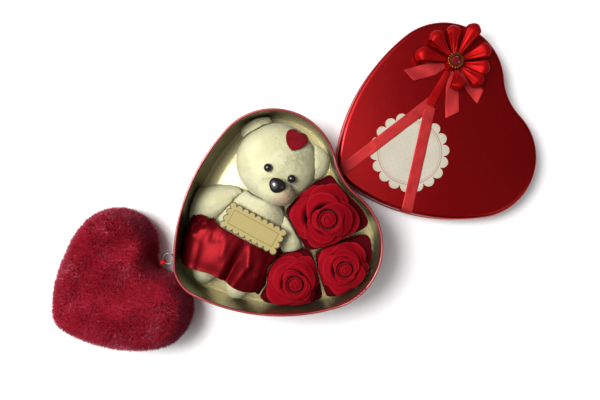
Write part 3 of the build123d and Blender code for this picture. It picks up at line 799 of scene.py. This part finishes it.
def kept_clear(point, inside):
    for tree in arm_trees:
        near, normal, index, distance = tree.find_nearest(point, 12 * MM)
        if near is not None and (point - near).dot(normal) < ARM_GAP * MM:
            point = near + normal * ARM_GAP * MM
    aim = (point - inside).normalized()
    for tree in lower_trees:
        hit = tree.ray_cast(inside + aim * 80 * MM, -aim, 80 * MM)
        if hit[0] is not None and (hit[0] - inside).length + BAG_GAP * MM > (point - inside).length:
            point = hit[0] + aim * BAG_GAP * MM
    way = point - inside
    hit = wall_tree.ray_cast(inside, way.normalized(), way.length + WALL_GAP * MM)
    if hit[0] is not None:
        point = inside + way.normalized() * (hit[3] - WALL_GAP * MM)
    for rose, centre in rose_centres.items():
        away = point.xy - centre
        room = (rose_sizes[rose] + ROSE_GAP) * MM
        if away.length < room:
            point.xy = centre + away.normalized() * room
    return point


bm = cloth_grid(200, 36)
for vert in bm.verts:
    turn, share = (vert.co.x + 0.5) * 2 * math.pi - math.pi / 2, vert.co.y + 0.5
    point = skirt_point(turn, share)
    inside = bear_frame @ (Vector((0, point.y, 18)) * MM)
    vert.co = kept_clear(bear_frame @ (point * MM), inside)
scale_map(bm, 240, 36)
bmesh.ops.remove_doubles(bm, verts=bm.verts, dist=2e-5)
for settling in range(2):
    relax(bm, 0.5, 3)
    for vert in bm.verts:
        along = (bear_frame.inverted() @ vert.co).y
        vert.co = kept_clear(vert.co, bear_frame @ Vector((0, along, 18 * MM)))
relax(bm, 0.5, 3)
for vert in bm.verts:
    vert.co.z = max(vert.co.z, 1.2 * MM)
bmesh.ops.recalc_face_normals(bm, faces=bm.faces)
area = cloth_area(bm)
skirt = put("bear_skirt_satin", bm, skirt_satin, "bear", ["bear_skirt"])
thicken(skirt, 0.4 * MM)
area / 0.036
print("skirt strip", round(area / 0.036 / MM), "by 36 mm")

# %% [markdown]
# ## Ribbon straps on the lid
# Two ribbons run from the bow over the top of the lid and down its side. A strip of squares is laid
# along each, and every point of it is found by shooting a ray at the lid, from above on the top and
# from outside on the wall. So the ribbon follows the real rounded edge. A short stem joins both to the
# bow.

# %% Straps laid on the lid
lid_tree = tree_of(nodes["lid_shell"], nodes["lid_label"])


def first_hit(origin, way):
    best = None
    for tree in lid_tree:
        hit, normal, index, distance = tree.ray_cast(origin, way)
        if hit is not None and (best is None or distance < best[1]):
            best = (hit, distance)
    return best[0] if best else None


def strap(name, heading, start, width):
    turn = math.radians(heading + LID_TURN)
    along = Vector((math.cos(turn), math.sin(turn), 0))
    across = Vector((-math.sin(turn), math.cos(turn), 0))
    fork = lid_frame @ Vector((11.0 * MM, 20.8 * MM, 0))
    bm = cloth_grid(48, 6)
    reach = 0.0
    for vert in bm.verts:
        run, side = vert.co.x + 0.5, vert.co.y * width * MM
        base = fork + across * side
        wall = first_hit(base + along * 0.2 + Vector((0, 0, 10 * MM)), -along)
        edge = (wall - base).dot(along) - 3.4 * MM
        reach = max(reach, edge)
        if run < 0.7:
            spot = base + along * (start * MM + (edge - start * MM) * run / 0.7)
            hit = first_hit(spot + Vector((0, 0, 0.1)), Vector((0, 0, -1)))
            out = Vector((0, 0, 1))
        elif run < 0.85:
            tilt = math.radians(90 * (1 - (run - 0.7) / 0.15))
            focus = base + along * edge + Vector((0, 0, 16.6 * MM))
            out = along * math.cos(tilt) + Vector((0, 0, math.sin(tilt)))
            hit = first_hit(focus + out * 0.05, -out)
        else:
            height = 16.6 - (run - 0.85) / 0.15 * 14.2
            hit = first_hit(base + along * 0.2 + Vector((0, 0, height * MM)), -along)
            out = along
        lift = 0.42 + 0.12 * math.sin(40 * run + 3 * vert.co.y)
        vert.co = hit + out * lift * MM
    scale_map(bm, reach / MM + 20, width)
    # The straps take the lighter copy of the ribbon: painted light.
    ribbon = put(name, bm, lit_ribbon_satin, "lid", [name.replace("_ribbon", "")])
    print(name, "reaches", round(reach / MM + 20), "mm")
    return thicken(ribbon, 0.35 * MM)


strap("strap_left_ribbon", 194.0, -2.0, 8.5)
strap("strap_right_ribbon", 234.0, 3.5, 8.5)

# The stem takes the darker copy of the ribbon as painted shade under the bow.
bm = cloth_grid(24, 6)
for vert in bm.verts:
    run, side = vert.co.x + 0.5, vert.co.y
    x, y = 8.6 + 23.2 * run, 18.9 + 18.0 * run
    slack = 0.18 * math.sin(9 * run) - 1.4 * side * side * run
    bend = 7.6 * side * (1 - 0.35 * run)
    vert.co = lid_frame @ (Vector((x - 0.613 * bend, y + 0.79 * bend, 20.85 + 0.35 * run + slack)) * MM)
scale_map(bm, 30, 8)
stem = thicken(put("strap_stem_ribbon", bm, ribbon_satin, "lid", []), 0.3 * MM)
print("stem of", len(stem.data.polygons), "faces joins the straps to the bow")

# %% [markdown]
# ## The bow
# Eight loops of ribbon stand round a gathered knot, over three cut ends. A loop is a flat strip of
# squares bent round a teardrop, pinched at its root, with a domed back and a rounded end. Each has
# its own length and heading and differs a little in tilt, as hand-tied loops do.

# %% Loops, ends and knot
bow_centre = lid_frame @ Vector((37.2 * MM, 41.1 * MM, 0))
loop_headings = (355.6, 37.6, 71.6, 104.6, 143.6, 255.6, 294.6, 323.6)
loop_lengths = (23.0, 26.5, 21.0, 22.0, 24.0, 16.0, 21.0, 21.0)
loop_wide = 10.6


def bow_frame(heading, rise=0.0):
    return (Matrix.Translation(bow_centre) @ Matrix.Rotation(math.radians(heading + LID_TURN), 4, "Z")
            @ Matrix.Translation((5.9 * MM, 0, rise * MM)))


def loop_piece(number, heading, long, chance):
    tall = 10.4 + chance.uniform(-1.4, 0.4)
    lean, twist = chance.uniform(-0.04, 0.04), chance.uniform(-0.10, 0.10)
    bm = cloth_grid(44, 12)
    for vert in bm.verts:
        run, side = vert.co.x + 0.5, vert.co.y
        reach = math.sin(math.pi * run) ** 0.85
        flare = 0.24 + 0.76 * min(1.0, 1.25 * reach) ** 1.2
        pleat = 0.35 * math.cos(4 * math.pi * side) * (1 - reach) ** 1.2
        dome = 4 * side * side * reach
        x = (long - 0.4) * reach - 3.4 * 4 * side * side * reach ** 4
        z = tall / 2 * (1 - math.sin(2 * math.pi * run) * min(1.0, 0.25 + reach)) + pleat
        z += 0.9 * dome if run < 0.5 else -1.2 * dome
        y = loop_wide * side * flare + lean * x + twist * (z - tall / 2) * reach
        vert.co = bow_frame(heading, 21.1) @ (Vector((x, y, max(z, 0.1))) * MM)
    scale_map(bm, 48, loop_wide)
    area = cloth_area(bm)
    piece = put(f"bow_loop_{number}_satin", bm, ribbon_satin, "lid", [f"bow_loop_{number}"])
    thicken(piece, 0.3 * MM)
    area / (loop_wide * MM)
    return area / loop_wide / MM / MM


chance = random.Random(8)
ribbon_used = []
for number, (heading, long) in enumerate(zip(loop_headings, loop_lengths), 1):
    ribbon_used.append(loop_piece(number, heading, long, chance))
print("loops take", [round(length) for length in ribbon_used], "mm of ribbon")


def tail_piece(side_name, heading, long):
    wide = 10.2
    bm = cloth_grid(26, 6)
    for vert in bm.verts:
        run, side = vert.co.x + 0.5, vert.co.y
        flare = 0.36 + 0.64 * min(1.0, 3.0 * run)
        x = run * (long - wide * (side + 0.5) * 0.5)
        z = 20.42 + 0.5 * (1 + math.sin(7 * run + 2 * side)) * min(1.0, 2.5 * run)
        vert.co = bow_frame(heading) @ (Vector((x, wide * side * flare, z)) * MM)
    scale_map(bm, long, wide)
    area = cloth_area(bm)
    node = "bow_tail_" + side_name
    # The cut ends take the lighter copy of the ribbon: painted light.
    piece = put(node + "_satin", bm, lit_ribbon_satin, "lid", [node])
    thicken(piece, 0.3 * MM)
    area / wide / MM


tail_piece("left", 172.0, 31.0)
tail_piece("down", 246.0, 35.6)
tail_piece("right", 286.0, 29.4)

bm = bmesh.new()
bm.loops.layers.uv.new("cloth")
bmesh.ops.create_cone(bm, cap_ends=True, cap_tris=True, segments=48, radius1=5.5 * MM, radius2=4.6 * MM,
                      depth=8.2 * MM, calc_uvs=True)
tall_edges = [e for e in bm.edges if abs(e.verts[0].co.z - e.verts[1].co.z) > MM]
bmesh.ops.subdivide_edges(bm, edges=tall_edges, cuts=4)
for vert in bm.verts:
    turn = math.atan2(vert.co.y, vert.co.x)
    vert.co.xy *= 1 - 0.08 * (1 + math.cos(12 * turn + 400 * vert.co.z)) * (vert.co.xy.length > MM)
    vert.co += bow_centre + Vector((0, 0, 24.5 * MM))
knot = put("bow_knot_satin", bm, ribbon_satin, "lid", ["bow_knot"])
print("bow tied with", len(ribbon_used), "loops")

# %% [markdown]
# ## Soap roses
# Petals of a soap rose are thin flakes that are cupped, overlap like tiles and roll out at the lip.
# Each starts as a flat grid and is bent round the rose: up from its foot, over a shoulder and out to
# its lip. The outermost petals are pressed against the wall of the tin, the bear and the next rose,
# so the free way is measured in every direction before they are bent. At the heart is a closed bud.

# %% Petal finish
def petal_finish():
    f = Finish("soap_petal", {"Specular Tint": paint(255, 110, 110), "Specular IOR Level": 0.15,
                              "Subsurface Weight": 0.06, "Subsurface Radius": (0.004, 0.001, 0.001),
                              "Subsurface Scale": 0.3, "Sheen Weight": 0.02, "Sheen Roughness": 0.5})
    here = f.spot()
    up = f.part(f.cloth_spot(), "Y")
    cloud = f.grain(here, 90.0, 3.0)
    vein = f.grain(f.cloth_spot((0.05, 1.2, 1)), 2.0, 3.0)
    colour = f.mix(cloud, paint(118, 3, 15), paint(146, 8, 24))
    # Painted shade towards the foot of each petal, and a painted highlight along its rolled lip.
    colour = f.mix(f.ramp(up, 0.5, 0.1), colour, paint(60, 0, 8))
    colour = f.mix(f.ramp(up, 0.9, 1.0) * 0.35, colour, paint(184, 34, 46))
    f.set("Base Color", f.mix(0.15 * vein, colour, paint(104, 0, 14)))
    f.set("Roughness", 0.5 + 0.2 * vein)
    f.bump(vein + 0.5 * cloud, 0.15, 0.0004)
    return f.material


petal_paint = petal_finish()
print("petal finish", petal_paint.name)

# %% The free way round each rose
obstacles = tree_of(nodes["base_wall"], nodes["bear_tag"], skirt, *bear_bags.values())
WAYS = 120


def measured_room(rose):
    centre = rose_centres[rose]
    rooms = []
    for step in range(WAYS):
        heading = 2 * math.pi * step / WAYS
        way = Vector((math.cos(heading), math.sin(heading), 0))
        reach = (rose_sizes[rose] + 15.0) * MM
        for height in range(5, 48, 3):
            for tree in obstacles:
                hit = tree.ray_cast(Vector((*centre, height * MM)), way, reach + 2 * MM)
                if hit[0] is not None:
                    reach = min(reach, hit[3] - 0.9 * MM)
        for other, there in rose_centres.items():
            gap = there - centre
            toward = gap.normalized().dot(way.xy) if other != rose else 0.0
            if toward > 0.05:
                border = (gap.length + (rose_sizes[rose] - rose_sizes[other]) * MM) / 2
                reach = min(reach, (border - 0.5 * MM) / toward)
        rooms.append(reach / MM)
    low = [min(rooms[step - 1], rooms[step], rooms[(step + 1) % WAYS]) for step in range(WAYS)]
    return [(low[step - 1] + low[step] + low[(step + 1) % WAYS]) / 3 for step in range(WAYS)]


rose_rooms = {rose: measured_room(rose) for rose in "abc"}


def room_for(rose, heading):
    place = heading / (2 * math.pi) * WAYS
    step = math.floor(place)
    rooms = rose_rooms[rose]
    return rooms[step % WAYS] + (rooms[(step + 1) % WAYS] - rooms[step % WAYS]) * (place - step)


for rose in "abc":
    rooms = rose_rooms[rose]
    print("rose", rose, "has", round(min(rooms)), "to", round(max(rooms)), "mm of room")

# %% Bend petals round a rose
rose_leans = {"a": Vector((2.3, -4.0)), "b": Vector((0.8, -3.2)), "c": Vector((0.6, -1.4))}


def add_petal(bm, bend, shade):
    cloth_map = bm.loops.layers.uv["cloth"]
    for vert in bmesh.ops.create_grid(bm, x_segments=18, y_segments=14, size=0.5, calc_uvs=True)["verts"]:
        vert.co = bend(vert.co.x * 2, vert.co.y + 0.5) * MM
        for loop in vert.link_loops:
            loop[cloth_map].uv.y *= shade


def whorl(bm, rose, chance, count, first, span, foot, shoulder, lip, bottom, top, drop, lean, shade):
    centre = rose_centres[rose] / MM + rose_leans[rose] * lean
    for number in range(count):
        lift, wave = chance.uniform(-0.9, 0.9), chance.uniform(0, 6.28)
        middle = math.radians(first + 360 * number / count + chance.uniform(-8, 8))
        spread = math.radians(span * chance.uniform(0.94, 1.06)) / 2
        widen = chance.uniform(0.85, 1.2)

        def bend(side, up):
            edge = abs(side)
            up *= 1 - 0.42 * edge ** 2.2
            turn = middle + side * spread * (0.5 + 0.5 * math.sin(min(1.0, up * 1.6) * math.pi / 2))
            rise = math.sin(min(1.0, up / 0.7) * math.pi / 2)
            roll = max(0.0, (up - 0.48) / 0.52)
            fall = max(0.0, (up - 0.66) / 0.34)
            out = foot + (shoulder - foot) * rise ** 0.8 + 0.85 * side * up
            way = lip * widen
            out += way * roll ** 1.4 + 0.9 * math.exp(-((side - 0.2) / 0.2) ** 2) * roll ** 2
            out += 1.3 * math.sin(3.2 * side + wave) * up ** 3
            high = bottom + (top + lift - bottom) * rise - drop * fall ** 1.5
            high += 1.5 * math.sin(3.7 * side + 2 * wave) * up ** 4 + 0.6 * max(0.0, up - 0.9) / 0.1
            point = centre + Vector((math.cos(turn), math.sin(turn))) * out
            away = point - rose_centres[rose] / MM
            room = room_for(rose, math.atan2(away.y, away.x))
            # The last part of the room gives way softly, so that a lip bends instead of being cut.
            soft = 0.86 * room
            if away.length > soft:
                squeezed = soft + 0.14 * room * math.tanh((away.length - soft) / (0.14 * room))
                point -= away * (1 - squeezed / away.length)
            return Vector((*point, high))

        add_petal(bm, bend, shade)


def petal_piece(rose, layer, bm):
    node = f"rose_{rose}_{layer}"
    return thicken(put(node + "_petals", bm, petal_paint, f"rose_{rose}", [node]), 0.6 * MM)


def new_petals():
    bm = bmesh.new()
    bm.loops.layers.uv.new("cloth")
    return bm


def bud(rose, high, radius):
    # A closed heart of folded petals, with one strip wound nearly twice round it.
    bm = cloth_grid(90, 10)
    cloth_map = bm.loops.layers.uv["cloth"]
    centre = rose_centres[rose] / MM + rose_leans[rose]
    for vert in bm.verts:
        run, up = vert.co.x + 0.5, vert.co.y + 0.5
        turn = 2 * math.pi * 1.8 * run + 1.0
        out = radius * (0.42 + 0.58 * run) * (0.86 + 0.2 * math.sin(math.pi * (0.1 + 0.6 * up)))
        out += (1.6 * run - 0.7) * up ** 4
        tall = 14.0 + (high - 14.0) * up - (2.0 * run + 0.5 * math.cos(turn * 1.3)) * up
        vert.co = Vector((centre.x + math.cos(turn) * out, centre.y + math.sin(turn) * out, tall)) * MM
    for vert in bmesh.ops.create_uvsphere(bm, u_segments=28, v_segments=16, radius=1.0)["verts"]:
        x, y, z = vert.co
        fold = 0.7 * math.exp(-((x - 0.25 + 0.5 * y * y) / 0.16) ** 2)
        out = 0.84 * radius
        vert.co = Vector((centre.x + out * x, centre.y + out * y, high - 6.0 + (4.9 - fold) * z)) * MM
        for loop in vert.link_loops:
            loop[cloth_map].uv.y = 0.7
    return petal_piece(rose, "bud", bm)


# Layer, petals, first heading, span, foot, shoulder, lip, bottom, depth below the top, drop, lean and
# shade. Shoulder and lip are shares of the size of the rose. Shade squeezes a petal's map towards its
# darker foot, so the last, lowest ring of seven is painted nearly black as shade under the heads.
whorls = (("inner", 3, 20, 170, 4.0, 0.36, 0.17, 13.5, 0.8, 2.0, 1.0, 1.0),
          ("middle", 3, 75, 160, 6.5, 0.50, 0.34, 9.5, 4.0, 3.4, 0.75, 1.0),
          ("outer", 4, 35, 128, 9.0, 0.66, 0.40, 7.5, 8.5, 4.0, 0.35, 1.0),
          ("outer", 5, 80, 100, 9.0, 0.72, 0.46, 6.8, 13.0, 3.0, 0.1, 1.0),
          ("outer", 7, 0, 110, 9.0, 0.74, 0.95, 6.4, 19.0, 2.0, 0.0, 0.12))
for rose, high, first in (("a", 41.5, 10.0), ("b", 37.5, 50.0), ("c", 38.5, 85.0)):
    size = rose_sizes[rose]
    chance = random.Random(f"rose {rose}")
    bud(rose, high, 0.34 * size)
    petals = {layer: new_petals() for layer in ("inner", "middle", "outer")}
    for layer, count, turn, span, foot, shoulder, lip, bottom, below, drop_by, lean, shade in whorls:
        whorl(petals[layer], rose, chance, count, first + turn, span, foot, shoulder * size, lip * size,
              bottom, high - below, drop_by, lean, shade)
    for layer, bm in petals.items():
        petal_piece(rose, layer, bm)
    print("rose", rose, "of 22 petals and a bud")

# %% [markdown]
# ## The loop that holds the ring
# A narrow ribbon, sewn into the notch of the plush heart, holds the small steel ring. Its solid is
# copied and its edges are rounded, because it is far too narrow for a remesh.

# %% The sewn ribbon loop
bm = welded_copy("plush_tab")
cloth_map = bm.loops.layers.uv.new("cloth")
for face in bm.faces:
    for loop in face.loops:
        local = plush_frame.inverted() @ loop.vert.co / MM
        loop[cloth_map].uv = (local.x + local.z, local.y)
corners = [e for e in bm.edges if len(e.link_faces) == 2 and e.calc_face_angle(0.0) > 0.9]
bmesh.ops.bevel(bm, geom=corners, offset=0.12 * MM, segments=2, profile=0.5, affect="EDGES", material=-1)
tab = put("plush_tab_ribbon", bm, ribbon_satin, "plush", ["plush_tab"], smooth=False)
print("ring loop with", len(tab.data.polygons), "faces")

# %% [markdown]
# ## Floor and light
# The things lie on a plain pale table. The room is bright on the left of the picture and overhead
# and falls off to the right, which gives lacquer its slow change from red to maroon. One large lamp
# on the left adds soft shadows and a shine on the satin, and a weak one fills them.

# %% Floor
bm = bmesh.new()
bmesh.ops.create_grid(bm, x_segments=1, y_segments=1, size=2.0)
for vert in bm.verts:
    vert.co.z = -0.0002
floor_finish = Finish("pale_table", {"Roughness": 0.8, "Specular IOR Level": 0.1})
speckle = floor_finish.grain(floor_finish.spot(), 300.0, 2.0)
floor_finish.set("Base Color", floor_finish.mix(speckle, paint(246, 246, 246), paint(252, 252, 252)))
floor_mesh = bpy.data.meshes.new("table")
bm.to_mesh(floor_mesh)
bm.free()
floor_mesh.materials.append(floor_finish.material)
table = bpy.data.objects.new("table", floor_mesh)
scene.collection.objects.link(table)
print("table", [round(side, 1) for side in table.dimensions], "m")

# %% Lamps and room light
photo_right = Vector((0.849, -0.528, 0))
photo_up = Vector((0.528, 0.849, 0))
scene_middle = Vector((0.03, 0.004, 0.03))


def lamp(name, right, up, height, size, power):
    data = bpy.data.lights.new(name, "AREA")
    data.shape = "DISK"
    data.size = size
    data.energy = power
    made = bpy.data.objects.new(name, data)
    made.location = scene_middle + photo_right * right + photo_up * up + Vector((0, 0, height))
    made.rotation_euler = (scene_middle - made.location).to_track_quat("-Z", "Y").to_euler()
    scene.collection.objects.link(made)


lamp("window_left", -0.34, 0.12, 0.72, 0.34, 6.5)
lamp("fill_right", 0.7, -0.3, 0.8, 0.5, 0.6)
bright_way = (Vector((0, 0, 0.85)) - 0.55 * photo_right + 0.1 * photo_up).normalized()
world = bpy.data.worlds.new("studio")
scene.world = world
world.use_nodes = True
sky = world.node_tree
way = sky.nodes.new("ShaderNodeTexCoord")
share = sky.nodes.new("ShaderNodeVectorMath")
share.operation = "DOT_PRODUCT"
share.inputs[1].default_value = bright_way
fade = sky.nodes.new("ShaderNodeMapRange")
fade.interpolation_type = "SMOOTHSTEP"
fade.inputs["From Min"].default_value = 0.70
fade.inputs["From Max"].default_value = 0.94
fade.inputs["To Min"].default_value = 0.08
fade.inputs["To Max"].default_value = 1.9
sky.links.new(way.outputs["Generated"], share.inputs[0])
sky.links.new(share.outputs["Value"], fade.inputs["Value"])
sky.links.new(fade.outputs["Result"], sky.nodes["Background"].inputs["Strength"])
sky.nodes["Background"].inputs["Color"].default_value = (1, 1, 1, 1)
scene.view_settings.view_transform = "Standard"
print("two lamps in a room that is bright on the left")
